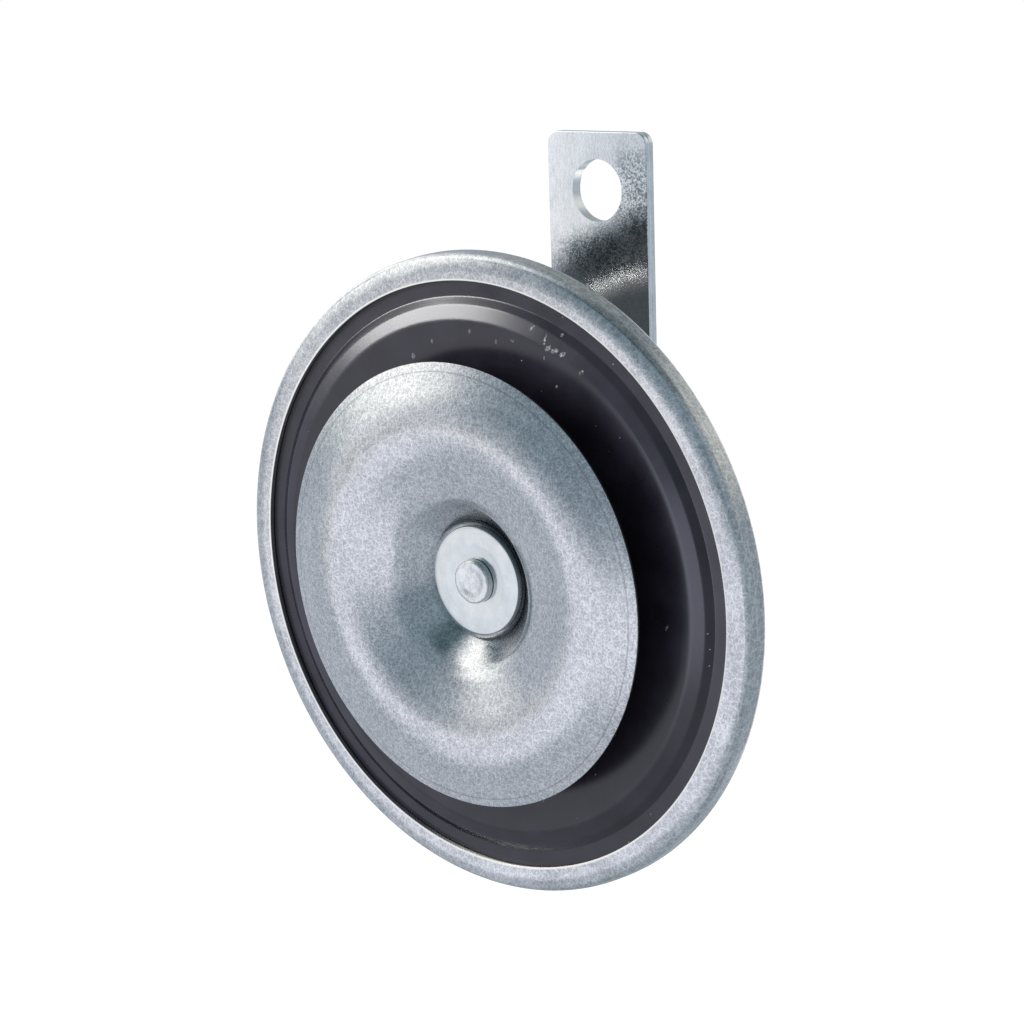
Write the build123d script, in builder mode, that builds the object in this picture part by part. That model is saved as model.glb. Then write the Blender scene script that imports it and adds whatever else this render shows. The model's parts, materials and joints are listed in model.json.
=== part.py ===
from build123d import *

import os
from math import cos, radians, sin, sqrt

os.makedirs("parts", exist_ok=True)

# Electromagnetic disc horn on a two-leaf steel bracket. Millimetres. The bracket stands up +Z,
# the tone disc faces -Y, and the origin is the centre of the bracket's mounting hole on the
# face that beds against the car. Along the horn's own axis every piece is placed by its
# station: how far it lies behind the front plane of the crimped lip.

# ---------------------------------------------------------------- driving dimensions
# Crimped rim
lip_radius = 42.0  # cut inner edge of the crimped ring
lip_width = 3.7  # out to the rolled shoulder
side_flare = 0.35  # the side wall opens a little towards the back
roll_width = 2.85  # lip rolled in behind the flange
ring_sheet = 0.8
ring_crown = 0.16  # the front face bulges ahead of its cut edge
crown_bend_ratio = 1.35  # the lip's bends to its width
shoulder_bend_ratio = 0.35
ring_rear_bend = 1.0
crimp_fit = 0.05  # play left between the crimped sheets
clamp_clearance = 0.3

# Diaphragm
diaphragm_sheet = 0.5
crease_inset = 2.2  # inward of the ring's lip
step_width = 1.1
step_rise = 0.65
crest_width = 2.1
crest_rise = 1.1
diaphragm_flat_radius = 9.0
diaphragm_dish = 1.4
dish_bend = 10.0
crest_bend = 3.0
step_bend = 1.2
crease_bend = 0.4

# Rim gasket
gasket_thickness = 0.5
gasket_inset = 1.5  # inward of the ring's lip

# Tone disc and what clamps it
tone_disc_inset = 10.4  # inward of the ring's lip
tone_disc_sheet = 0.8
tone_disc_seat_radius = 8.3
tone_disc_wall_radius = 12.5
tone_disc_wall_rise = 4.25
tone_disc_brim = 8.6  # crown to edge
tone_disc_crown_rise = 7.75
tone_disc_edge_rise = 5.11
hub_bend = 1.0
wall_bend = 6.0
crown_bend = 16.0
spacer_radius = 6.5
spacer_length = 1.2
front_washer_radius = 7.8
front_washer_thickness = 0.9
washer_dimple_radius = 4.3
washer_dimple_depth = 0.25
backing_washer_radius = 8.5
backing_washer_thickness = 1.0

# Armature
stem_radius = 2.9
stem_fit = 0.08
rivet_head_radius = 3.15
rivet_head_height = 1.1
rivet_head_edge = 0.25
armature_radius = 6.8
collar_width = 2.4
collar_thickness = 1.2
air_gap = 0.9  # between the armature and the core's pole face

# Drawn housing
housing_sheet = 1.2
bowl_inset = 5.6  # inward of the ring's lip
bowl_taper = 1.6
shelf_depth = 11.0  # flange face to the annular shelf, inside
cup_taper = 1.2
cup_depth = 25.85  # flange face to the cup's floor, inside
flange_bend = 2.2
shelf_bend = 3.0
cup_mouth_bend = 2.0
cup_floor_bend = 2.5

# Coil and core
core_radius = 7.2
core_length = 10.7
bobbin_fit = 0.3
bobbin_wall = 0.8
bobbin_flange = 1.0
bobbin_play = 0.1
coil_clearance = 0.3
winding_margin = 0.8  # winding stops short of the flange edge
winding_fit = 0.05

# Pole plate, held to the shelf by two rivets and the breaker's own rivets
pole_plate_thickness = 1.2
pole_plate_lap = 2.6  # outward of the cup's mouth
pole_plate_gap = 1.2
pole_plate_lobe_radius = 3.8
plate_rivet_inset = 5.5  # outward of the cup's mouth
plate_rivet_angles = (120, 205)
plate_rivet_radius = 1.5
plate_rivet_head_radius = 2.6
rivet_head = 0.9
rivet_play = 0.05

# Contact breaker, a stack of blades and fibre plates on the pole plate's tongue
shelf_clearance = 0.1  # stack to the shelf's bend
stack_length = 3.7
stack_width = 9.6
breaker_rivet_spacing = 5.2
breaker_rivet_radius = 1.0
breaker_rivet_head_radius = 1.9
blade_hole_radius = 1.4  # keeps the blades clear of the rivets
lower_insulator = 1.6
upper_insulator = 0.8
spring_thickness = 0.3
spring_root_width = 9.0
spring_tip_width = 6.0
spring_shoulder = 3.9  # inward of the screw, where the spring starts to narrow
spring_neck = 2.5  # outward of the contact, where it has narrowed
spring_reach = 0.6  # spring tip to the armature
blade_corner = 0.5
fixed_blade_thickness = 0.8
fixed_blade_margin = 0.6  # blade tip to its contact
contact_reach = 5.0  # outward of the armature's collar
contact_radius = 1.6
contact_height = 0.75
clamp_plate_thickness = 1.0
breaker_gap = 0.5  # armature collar to the spring it pushes
ear_length = 3.0
ear_width = 3.2

# Adjusting screw
screw_setback = 2.6  # inward of the stack
nut_to_cup = 2.4
screw_radius = 1.5
screw_play = 0.05
screw_tail = 2.6
screw_chamfer = 0.3
screw_slot_width = 0.8
screw_slot_depth = 1.2
lock_nut_across_flats = 5.5
lock_nut_thickness = 2.4
pad_radius = 1.4
pad_thickness = 0.8
spring_window_radius = 2.1

# Terminals
terminal_spacing = 13.0
terminal_inset = 1.3  # washer to the shelf's bend
terminal_block_width = 26.0
terminal_block_height = 12.3
terminal_block_lead = 4.1  # block's top edge to the terminals
terminal_block_thickness = 4.0
terminal_block_corner = 1.5
barrier_width = 1.8
barrier_height = 4.5
barrier_fit = 0.4
blade_width = 6.3
blade_thickness = 0.8
blade_reach = 17.4  # terminal to the blade's tip
blade_tip_chamfer = 1.2
blade_detent_radius = 0.9
blade_detent_inset = 4.0
terminal_rivet_radius = 1.4
terminal_rivet_head_radius = 2.3
terminal_boss_radius = 2.3
terminal_washer_radius = 3.5
terminal_washer_thickness = 0.8

# Internal leads
lead_radius = 0.4
lead_bend = 0.8
lead_hole_radius = 0.7
lead_angles = (250, 340)
lead_clear = 1.2  # how far a lead runs clear of the face it crosses

# Bracket and its fixing
axis_drop = 51.5  # mounting hole down to the horn's axis
bracket_width = 18.0
bracket_margin = 3.9  # steel left above the hole
bracket_corner = 1.8
front_leaf_thickness = 0.85
rear_leaf_thickness = 0.95
leaf_edge = 0.16
mount_hole_radius = 4.5
stud_radius = 4.0
stud_clearance = 0.2
stud_end_chamfer = 0.9
stud_proud = 2.4
lock_washer_width = 3.0
lock_washer_thickness = 2.0
lock_washer_slit = 1.4
lock_washer_turn = 20  # where the slit lies
nut_across_flats = 13.0
nut_thickness = 6.5
nut_chamfer = 0.6

# ---------------------------------------------------------------- stations on the horn's axis
diaphragm_rim_face = ring_sheet + crimp_fit
gasket_face = diaphragm_rim_face + diaphragm_sheet
flange_face = gasket_face + gasket_thickness
ring_roll_face = flange_face + housing_sheet + crimp_fit
ring_depth = ring_roll_face + ring_sheet

diaphragm_centre_face = diaphragm_rim_face + diaphragm_dish
tone_disc_back = diaphragm_centre_face - spacer_length
tone_disc_seat = tone_disc_back - tone_disc_sheet
washer_face = tone_disc_seat - front_washer_thickness
rivet_face = washer_face - rivet_head_height
backing_washer_face = diaphragm_centre_face + diaphragm_sheet
armature_shoulder = backing_washer_face + backing_washer_thickness

shelf_face = flange_face + shelf_depth
shelf_back = shelf_face + housing_sheet
cup_floor = flange_face + cup_depth
bracket_face = cup_floor + housing_sheet
mount_station = bracket_face + front_leaf_thickness + rear_leaf_thickness
lock_washer_back = mount_station + lock_washer_thickness
nut_back = lock_washer_back + nut_thickness
stud_end = nut_back + stud_proud

pole_face = cup_floor - core_length
armature_back = pole_face - air_gap
pole_plate_face = shelf_face - pole_plate_thickness
bobbin_front = shelf_face + bobbin_play

spring_back = pole_plate_face - lower_insulator
spring_face = spring_back - spring_thickness
blade_back = spring_face - 2 * contact_height
blade_face = blade_back - fixed_blade_thickness
clamp_back = blade_face - upper_insulator
clamp_face = clamp_back - clamp_plate_thickness
collar_back = spring_face - breaker_gap
collar_face = collar_back - collar_thickness
screw_tip = blade_back + pad_thickness

block_back = shelf_back + terminal_block_thickness
terminal_blade_back = block_back + blade_thickness
terminal_washer_face = shelf_face - terminal_washer_thickness

# ---------------------------------------------------------------- shared sizes across the axis
ring_front_radius = lip_radius + lip_width
ring_rear_radius = ring_front_radius + side_flare
ring_roll_radius = ring_rear_radius - roll_width
ring_crown_bend = crown_bend_ratio * lip_width
ring_shoulder = shoulder_bend_ratio * lip_width
crease_radius = lip_radius - crease_inset
step_radius = crease_radius - step_width
crest_radius = step_radius - crest_width
gasket_inner_radius = lip_radius - gasket_inset
tone_disc_radius = lip_radius - tone_disc_inset
tone_disc_crown_radius = tone_disc_radius - tone_disc_brim
bowl_mouth_radius = lip_radius - bowl_inset
bowl_floor_radius = bowl_mouth_radius - bowl_taper
collar_radius = armature_radius + collar_width
contact_circle = collar_radius + contact_reach
fixed_blade_tip = contact_circle - contact_radius - fixed_blade_margin
bobbin_bore_radius = core_radius + bobbin_fit

# What stands on the shelf, from the bowl's wall inwards; the cup's mouth starts inside it.
stack_outer = bowl_floor_radius - shelf_bend - shelf_clearance
stack_inner = stack_outer - stack_length
screw_circle = stack_inner - screw_setback
cup_mouth_radius = screw_circle - lock_nut_across_flats / sqrt(3) - nut_to_cup
cup_floor_radius = cup_mouth_radius - cup_taper
plate_rivet_circle = cup_mouth_radius + plate_rivet_inset
pole_plate_disc_radius = cup_mouth_radius + pole_plate_lap
terminal_drop = bowl_floor_radius - shelf_bend - terminal_washer_radius - terminal_inset
terminal_block_top = terminal_drop - terminal_block_lead
terminal_block_bottom = terminal_block_top + terminal_block_height
blade_tip_drop = terminal_drop + blade_reach

clamp_radius = ring_front_radius - ring_sheet - clamp_clearance
stem_hole = stem_radius + stem_fit
stud_hole = stud_radius + stud_clearance
lock_washer_radius = stud_hole + lock_washer_width
bracket_top_margin = mount_hole_radius + bracket_margin
coil_radius = cup_floor_radius - cup_floor_bend - coil_clearance
winding_inner = bobbin_bore_radius + bobbin_wall + winding_fit
winding_outer = coil_radius - winding_margin
lead_circle = (winding_inner + winding_outer) / 2
stack_middle = stack_inner + stack_length / 2
terminal_x = terminal_spacing / 2
spring_tip = armature_radius + spring_reach
ear_x = stack_outer - ear_length / 2
ear_z = -spring_root_width / 2 - ear_width / 2

# Hole and rivet places, across the horn and up from its axis
plate_rivet_places = [
    (plate_rivet_circle * cos(radians(angle)), plate_rivet_circle * sin(radians(angle)))
    for angle in plate_rivet_angles
]
breaker_rivet_places = [(stack_middle, side * breaker_rivet_spacing / 2) for side in (1, -1)]
terminal_places = [(side * terminal_x, -terminal_drop) for side in (-1, 1)]
lead_holes = [
    (lead_circle * cos(radians(angle)), lead_circle * sin(radians(angle)))
    for angle in lead_angles
]

# ---------------------------------------------------------------- planes
# The half section: across it runs the radius, up it the station.
horn_section = Plane(origin=(0, -mount_station, -axis_drop), x_dir=(1, 0, 0), z_dir=(0, 0, 1))
horn_axis = Axis((0, -mount_station, -axis_drop), (0, 1, 0))


def face_at(station):
    # Square to the horn's axis and seen from the front, so extruding goes forward.
    return Plane(origin=(0, station - mount_station, -axis_drop), x_dir=(1, 0, 0), z_dir=(0, -1, 0))


def in_horn(x, z, station):
    # A point given across the horn, up from its axis, and by its station.
    return (x, station - mount_station, z - axis_drop)


def write(piece, name):
    piece.part.label = name
    export_step(piece.part, f"parts/{name}.step")


# ---------------------------------------------------------------- crimped rim
# One strip of galvanised sheet rolled over the diaphragm and behind the housing's flange.
with BuildPart() as crimp_ring:
    with BuildSketch(horn_section):
        with BuildLine():
            FilletPolyline(
                (lip_radius, 0),
                ((lip_radius + ring_front_radius) / 2, -ring_crown),
                (ring_front_radius, ring_crown),
                (ring_rear_radius, ring_depth),
                (ring_roll_radius, ring_depth),
                radius=[ring_crown_bend, ring_shoulder, ring_rear_bend],
            )
            offset(amount=ring_sheet, side=Side.LEFT)
        make_face()
    revolve(axis=horn_axis)
write(crimp_ring, "crimp_ring")

# ---------------------------------------------------------------- diaphragm
# Flat where it is clamped, then a stepped bead, then a shallow dish down to its hub.
with BuildPart() as diaphragm:
    with BuildSketch(horn_section):
        with BuildLine():
            FilletPolyline(
                (stem_hole, diaphragm_centre_face),
                (diaphragm_flat_radius, diaphragm_centre_face),
                (crest_radius, diaphragm_rim_face - crest_rise),
                (step_radius, diaphragm_rim_face - step_rise),
                (crease_radius, diaphragm_rim_face),
                (clamp_radius, diaphragm_rim_face),
                radius=[dish_bend, crest_bend, step_bend, crease_bend],
            )
            offset(amount=diaphragm_sheet, side=Side.LEFT)
        make_face()
    revolve(axis=horn_axis)
write(diaphragm, "diaphragm")

with BuildPart() as rim_gasket:
    with BuildSketch(face_at(flange_face)):
        Circle(clamp_radius)
        Circle(gasket_inner_radius, mode=Mode.SUBTRACT)
    extrude(amount=gasket_thickness)
write(rim_gasket, "rim_gasket")

# ---------------------------------------------------------------- housing
# Deep-drawn steel: flange, bowl, annular shelf, then the cup that holds the coil.
with BuildPart() as rear_housing:
    with BuildSketch(horn_section):
        with BuildLine():
            FilletPolyline(
                (stud_hole, cup_floor),
                (cup_floor_radius, cup_floor),
                (cup_mouth_radius, shelf_face),
                (bowl_floor_radius, shelf_face),
                (bowl_mouth_radius, flange_face),
                (clamp_radius, flange_face),
                radius=[cup_floor_bend, cup_mouth_bend, shelf_bend, flange_bend],
            )
            offset(amount=housing_sheet, side=Side.LEFT)
        make_face()
    revolve(axis=horn_axis)
    with BuildSketch(face_at(shelf_back)):
        with Locations(*plate_rivet_places):
            Circle(plate_rivet_radius + rivet_play)
        with Locations(*breaker_rivet_places):
            Circle(breaker_rivet_radius + rivet_play)
        with Locations((screw_circle, 0)):
            Circle(screw_radius + screw_play)
        with Locations(*terminal_places):
            Circle(terminal_boss_radius + rivet_play)
    extrude(amount=housing_sheet, mode=Mode.SUBTRACT)
write(rear_housing, "rear_housing")

# ---------------------------------------------------------------- tone disc and its clamp
# The hub sits in a deep dimple; outside it the disc flares to a crown and droops at the edge.
with BuildPart() as tone_disc:
    with BuildSketch(horn_section):
        with BuildLine():
            FilletPolyline(
                (stem_hole, tone_disc_seat),
                (tone_disc_seat_radius, tone_disc_seat),
                (tone_disc_wall_radius, tone_disc_seat - tone_disc_wall_rise),
                (tone_disc_crown_radius, tone_disc_seat - tone_disc_crown_rise),
                (tone_disc_radius, tone_disc_seat - tone_disc_edge_rise),
                radius=[hub_bend, wall_bend, crown_bend],
            )
            offset(amount=tone_disc_sheet, side=Side.LEFT)
        make_face()
    revolve(axis=horn_axis)
write(tone_disc, "tone_disc")

with BuildPart() as tone_disc_spacer:
    with BuildSketch(face_at(diaphragm_centre_face)):
        Circle(spacer_radius)
        Circle(stem_hole, mode=Mode.SUBTRACT)
    extrude(amount=spacer_length)
write(tone_disc_spacer, "tone_disc_spacer")

# Its face is pressed in a little round the rivet.
with BuildPart() as front_washer:
    with BuildSketch(face_at(tone_disc_seat)):
        Circle(front_washer_radius)
        Circle(stem_hole, mode=Mode.SUBTRACT)
    extrude(amount=front_washer_thickness)
    with BuildSketch(horn_section):
        with BuildLine():
            Polyline(
                (rivet_head_radius, washer_face),
                (washer_dimple_radius, washer_face),
                (rivet_head_radius, washer_face + washer_dimple_depth),
                close=True,
            )
        make_face()
    revolve(axis=horn_axis, mode=Mode.SUBTRACT)
    rim_edges = front_washer.edges().filter_by(GeomType.CIRCLE)
    fillet(rim_edges.sort_by(SortBy.RADIUS)[-2:], radius=front_washer_thickness / 4)
write(front_washer, "front_washer")

with BuildPart() as backing_washer:
    with BuildSketch(face_at(armature_shoulder)):
        Circle(backing_washer_radius)
        Circle(stem_hole, mode=Mode.SUBTRACT)
    extrude(amount=backing_washer_thickness)
write(backing_washer, "backing_washer")

# Soft iron, turned in one piece: the stem is peened over the front washer, and the collar
# opens the breaker as the armature is pulled back.
with BuildPart() as armature:
    with BuildSketch(horn_section):
        with BuildLine():
            Polyline(
                (0, rivet_face),
                (rivet_head_radius - rivet_head_edge, rivet_face),
                (rivet_head_radius, rivet_face + rivet_head_edge),
                (rivet_head_radius, washer_face),
                (stem_radius, washer_face),
                (stem_radius, armature_shoulder),
                (armature_radius, armature_shoulder),
                (armature_radius, collar_face),
                (collar_radius, collar_face),
                (collar_radius, collar_back),
                (armature_radius, collar_back),
                (armature_radius, armature_back),
                (0, armature_back),
                close=True,
            )
        make_face()
    revolve(axis=horn_axis)
write(armature, "armature")

# ---------------------------------------------------------------- coil and core
with BuildPart() as coil_bobbin:
    with BuildSketch(horn_section):
        with BuildLine():
            Polyline(
                (bobbin_bore_radius, bobbin_front),
                (coil_radius, bobbin_front),
                (coil_radius, bobbin_front + bobbin_flange),
                (bobbin_bore_radius + bobbin_wall, bobbin_front + bobbin_flange),
                (bobbin_bore_radius + bobbin_wall, cup_floor - bobbin_flange),
                (coil_radius, cup_floor - bobbin_flange),
                (coil_radius, cup_floor),
                (bobbin_bore_radius, cup_floor),
                close=True,
            )
        make_face()
    revolve(axis=horn_axis)
    with BuildSketch(face_at(bobbin_front + bobbin_flange)):
        with Locations(*lead_holes):
            Circle(lead_hole_radius)
    extrude(amount=bobbin_flange, mode=Mode.SUBTRACT)
write(coil_bobbin, "coil_bobbin")

with BuildPart() as coil_winding:
    with BuildSketch(face_at(cup_floor - bobbin_flange)):
        Circle(winding_outer)
        Circle(winding_inner, mode=Mode.SUBTRACT)
    extrude(amount=cup_floor - bobbin_front - 2 * bobbin_flange)
write(coil_winding, "coil_winding")

# The core's pole stands in the coil; its stud carries the bracket behind the housing.
with BuildPart() as core_stud:
    with BuildSketch(horn_section):
        with BuildLine():
            Polyline(
                (0, pole_face),
                (core_radius, pole_face),
                (core_radius, cup_floor),
                (stud_radius, cup_floor),
                (stud_radius, stud_end - stud_end_chamfer),
                (stud_radius - stud_end_chamfer, stud_end),
                (0, stud_end),
                close=True,
            )
        make_face()
    revolve(axis=horn_axis)
write(core_stud, "core_stud")

with BuildPart() as pole_plate:
    with BuildSketch(face_at(shelf_face)):
        Circle(pole_plate_disc_radius)
        with Locations(*plate_rivet_places):
            Circle(pole_plate_lobe_radius)
        with Locations((stack_middle, 0)):
            Rectangle(stack_length, stack_width)
        make_hull()
        Circle(armature_radius + pole_plate_gap, mode=Mode.SUBTRACT)
        with Locations(*plate_rivet_places):
            Circle(plate_rivet_radius + rivet_play, mode=Mode.SUBTRACT)
        with Locations(*breaker_rivet_places):
            Circle(breaker_rivet_radius + rivet_play, mode=Mode.SUBTRACT)
        with Locations((screw_circle, 0)):
            Circle(screw_radius + screw_play, mode=Mode.SUBTRACT)
        with Locations(*lead_holes):
            Circle(2 * lead_hole_radius, mode=Mode.SUBTRACT)
    extrude(amount=pole_plate_thickness)
write(pole_plate, "pole_plate")

# Each rivet is a shank between its two seats, with a low rounded head beyond either end.
def rivet(x, z, shank, head, front_seat, back_seat):
    # Made where it lies; both seats are stations, and the head edges are rounded.
    front, back = front_seat - rivet_head, back_seat + rivet_head
    with BuildPart() as made:
        with BuildSketch(Plane(origin=in_horn(x, z, 0), x_dir=(1, 0, 0), z_dir=(0, 0, 1))):
            with BuildLine():
                Polyline((0, front), (head - rivet_head / 2, front))
                RadiusArc((head - rivet_head / 2, front), (head, front + rivet_head / 2), rivet_head / 2)
                Polyline(
                    (head, front + rivet_head / 2),
                    (head, front_seat),
                    (shank, front_seat),
                    (shank, back_seat),
                    (head, back_seat),
                    (head, back - rivet_head / 2),
                )
                RadiusArc((head, back - rivet_head / 2), (head - rivet_head / 2, back), rivet_head / 2)
                Polyline((head - rivet_head / 2, back), (0, back), (0, front))
            make_face()
        revolve(axis=Axis(in_horn(x, z, 0), (0, 1, 0)))
    return made.part


with BuildPart() as pole_plate_rivets:
    for x, z in plate_rivet_places:
        add(rivet(x, z, plate_rivet_radius, plate_rivet_head_radius, pole_plate_face, shelf_back))
write(pole_plate_rivets, "pole_plate_rivets")

# ---------------------------------------------------------------- contact breaker
# Three fibre plates keep the spring and the fixed blade apart and clear of the steel.
with BuildPart() as breaker_insulators:
    for back, thickness in (
        (pole_plate_face, lower_insulator),
        (spring_face, 2 * contact_height),
        (blade_face, upper_insulator),
    ):
        with BuildSketch(face_at(back)):
            with Locations((stack_middle, 0)):
                Rectangle(stack_length, stack_width)
            with Locations(*breaker_rivet_places):
                Circle(breaker_rivet_radius + rivet_play, mode=Mode.SUBTRACT)
        extrude(amount=thickness)
write(breaker_insulators, "breaker_insulators")

# Bronze spring: it narrows towards the tip that lies under the armature's collar, and its ear
# takes a lead.
with BuildPart() as contact_spring:
    with BuildSketch(face_at(spring_back)):
        with BuildLine():
            FilletPolyline(
                (stack_outer, spring_root_width / 2),
                (screw_circle - spring_shoulder, spring_root_width / 2),
                (contact_circle + spring_neck, spring_tip_width / 2),
                (spring_tip, spring_tip_width / 2),
                (spring_tip, -spring_tip_width / 2),
                (contact_circle + spring_neck, -spring_tip_width / 2),
                (screw_circle - spring_shoulder, -spring_root_width / 2),
                (stack_outer - ear_length, -spring_root_width / 2),
                (stack_outer - ear_length, -spring_root_width / 2 - ear_width),
                (stack_outer, -spring_root_width / 2 - ear_width),
                close=True,
                radius=[blade_corner] * 10,
            )
        make_face()
        with Locations(*breaker_rivet_places):
            Circle(blade_hole_radius, mode=Mode.SUBTRACT)
        with Locations((screw_circle, 0)):
            Circle(spring_window_radius, mode=Mode.SUBTRACT)
    extrude(amount=spring_thickness)
write(contact_spring, "contact_spring")

with BuildPart() as fixed_contact_blade:
    with BuildSketch(face_at(blade_back)):
        with BuildLine():
            FilletPolyline(
                (stack_outer, spring_root_width / 2),
                (fixed_blade_tip, spring_tip_width / 2),
                (fixed_blade_tip, -spring_tip_width / 2),
                (stack_outer - ear_length, -spring_root_width / 2),
                (stack_outer - ear_length, -spring_root_width / 2 - ear_width),
                (stack_outer, -spring_root_width / 2 - ear_width),
                close=True,
                radius=[blade_corner] * 6,
            )
        make_face()
        with Locations(*breaker_rivet_places):
            Circle(blade_hole_radius, mode=Mode.SUBTRACT)
    extrude(amount=fixed_blade_thickness)
write(fixed_contact_blade, "fixed_contact_blade")

# Two tungsten contacts meet face to face halfway between the blades.
contact_face = spring_face - contact_height
for contact_name, contact_back in (("moving_contact", spring_face), ("fixed_contact", contact_face)):
    with BuildPart() as contact:
        with BuildSketch(face_at(contact_back)):
            with Locations((contact_circle, 0)):
                Circle(contact_radius)
        extrude(amount=contact_height)
    write(contact, contact_name)

with BuildPart() as breaker_clamp_plate:
    with BuildSketch(face_at(clamp_back)):
        with Locations((stack_middle, 0)):
            Rectangle(stack_length, stack_width)
        with Locations(*breaker_rivet_places):
            Circle(breaker_rivet_radius + rivet_play, mode=Mode.SUBTRACT)
    extrude(amount=clamp_plate_thickness)
write(breaker_clamp_plate, "breaker_clamp_plate")

with BuildPart() as breaker_rivets:
    for x, z in breaker_rivet_places:
        add(rivet(x, z, breaker_rivet_radius, breaker_rivet_head_radius, clamp_face, shelf_back))
write(breaker_rivets, "breaker_rivets")

# ---------------------------------------------------------------- adjusting screw
# It threads through shelf and pole plate, passes the spring's window and bears on the fixed
# blade through a fibre pad.
with BuildPart() as adjusting_pad:
    with BuildSketch(face_at(screw_tip)):
        with Locations((screw_circle, 0)):
            Circle(pad_radius)
    extrude(amount=pad_thickness)
write(adjusting_pad, "adjusting_pad")

lock_nut_back = shelf_back + lock_nut_thickness
screw_back = lock_nut_back + screw_tail
with BuildPart() as adjusting_screw:
    with BuildSketch(face_at(screw_back)):
        with Locations((screw_circle, 0)):
            Circle(screw_radius)
    extrude(amount=screw_back - screw_tip)
    chamfer(adjusting_screw.edges().filter_by(GeomType.CIRCLE), length=screw_chamfer)
    with BuildSketch(face_at(screw_back)):
        with Locations((screw_circle, 0)):
            Rectangle(screw_slot_width, 4 * screw_radius)
    extrude(amount=screw_slot_depth, mode=Mode.SUBTRACT)
write(adjusting_screw, "adjusting_screw")


def hex_nut(x, z, back, thickness, across_flats, bore, corner):
    # The flats stand upright; turned cones take the corners off both ends.
    reach = across_flats / sqrt(3)
    front = back - thickness
    with BuildPart() as made:
        with BuildSketch(face_at(back)):
            with Locations((x, z)):
                RegularPolygon(reach, 6)
                Circle(bore, mode=Mode.SUBTRACT)
        extrude(amount=thickness)
        with BuildSketch(Plane(origin=in_horn(x, z, 0), x_dir=(1, 0, 0), z_dir=(0, 0, 1))):
            with BuildLine():
                Polyline(
                    (0, front),
                    (reach - corner, front),
                    (reach, front + corner / 2),
                    (reach, back - corner / 2),
                    (reach - corner, back),
                    (0, back),
                    close=True,
                )
            make_face()
        revolve(axis=Axis(in_horn(x, z, 0), (0, 1, 0)), mode=Mode.INTERSECT)
    return made


adjusting_lock_nut = hex_nut(
    screw_circle,
    0,
    lock_nut_back,
    lock_nut_thickness,
    lock_nut_across_flats,
    screw_radius + screw_play,
    nut_chamfer,
)
write(adjusting_lock_nut, "adjusting_lock_nut")

# ---------------------------------------------------------------- terminals
# A moulded block behind the shelf: bosses fill the shelf's holes, and a barrier parts the blades.
with BuildPart() as terminal_block:
    with BuildSketch(face_at(block_back)):
        with Locations((0, -(terminal_block_top + terminal_block_bottom) / 2)):
            RectangleRounded(
                terminal_block_width, terminal_block_bottom - terminal_block_top, terminal_block_corner
            )
    extrude(amount=terminal_block_thickness)
    with BuildSketch(face_at(block_back)):
        with Locations((0, -(terminal_block_top + terminal_block_bottom) / 2)):
            Rectangle(barrier_width, terminal_block_bottom - terminal_block_top)
    extrude(amount=-barrier_height)
    with BuildSketch(face_at(shelf_back)):
        with Locations(*terminal_places):
            Circle(terminal_boss_radius)
    extrude(amount=housing_sheet)
    with BuildSketch(face_at(block_back)):
        with Locations(*terminal_places):
            Circle(terminal_rivet_radius + rivet_play)
    extrude(amount=block_back - shelf_face, mode=Mode.SUBTRACT)
write(terminal_block, "terminal_block")

for side, (x, z) in zip(("left", "right"), terminal_places):
    with BuildPart() as terminal_blade:
        with BuildSketch(face_at(terminal_blade_back)) as blade_outline:
            with Locations((x, -terminal_block_top - barrier_fit)):
                Rectangle(
                    blade_width,
                    blade_tip_drop - terminal_block_top - barrier_fit,
                    align=(Align.CENTER, Align.MAX),
                )
            chamfer(blade_outline.vertices().group_by(Axis.Y)[0], length=blade_tip_chamfer)
            with Locations((x, z)):
                Circle(terminal_rivet_radius + rivet_play, mode=Mode.SUBTRACT)
            with Locations((x, -blade_tip_drop + blade_detent_inset)):
                Circle(blade_detent_radius, mode=Mode.SUBTRACT)
        extrude(amount=blade_thickness)
    write(terminal_blade, f"terminal_blade_{side}")

with BuildPart() as terminal_washers:
    with BuildSketch(face_at(shelf_face)):
        with Locations(*terminal_places):
            Circle(terminal_washer_radius)
            Circle(terminal_rivet_radius + rivet_play, mode=Mode.SUBTRACT)
    extrude(amount=terminal_washer_thickness)
write(terminal_washers, "terminal_washers")

with BuildPart() as terminal_rivets:
    for x, z in terminal_places:
        seats = terminal_washer_face, terminal_blade_back
        add(rivet(x, z, terminal_rivet_radius, terminal_rivet_head_radius, *seats))
write(terminal_rivets, "terminal_rivets")

# ---------------------------------------------------------------- internal leads
# Enamelled wire, run in straight stretches with tangent bends, each end square to its seat.
terminal_head_face = terminal_washer_face - rivet_head
winding_face = bobbin_front + bobbin_flange
lead_routes = {
    "lead_coil_to_terminal": (
        in_horn(*lead_holes[0], winding_face),
        in_horn(*lead_holes[0], terminal_head_face - lead_clear),
        in_horn(*terminal_places[0], terminal_head_face - lead_clear),
        in_horn(*terminal_places[0], terminal_head_face),
    ),
    "lead_coil_to_spring": (
        in_horn(*lead_holes[1], winding_face),
        in_horn(*lead_holes[1], spring_back + lead_clear),
        in_horn(ear_x, ear_z, spring_back + lead_clear),
        in_horn(ear_x, ear_z, spring_back),
    ),
    "lead_blade_to_terminal": (
        in_horn(ear_x, ear_z, blade_face),
        in_horn(ear_x, ear_z, blade_face - lead_clear),
        in_horn(*terminal_places[1], blade_face - lead_clear),
        in_horn(*terminal_places[1], terminal_head_face),
    ),
}
for lead_name, route in lead_routes.items():
    with BuildPart() as lead:
        with BuildLine():
            FilletPolyline(*route, radius=lead_bend)
        with BuildSketch(Plane(origin=route[0], z_dir=Vector(*route[1]) - Vector(*route[0]))):
            Circle(lead_radius)
        sweep()
    write(lead, lead_name)

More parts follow.
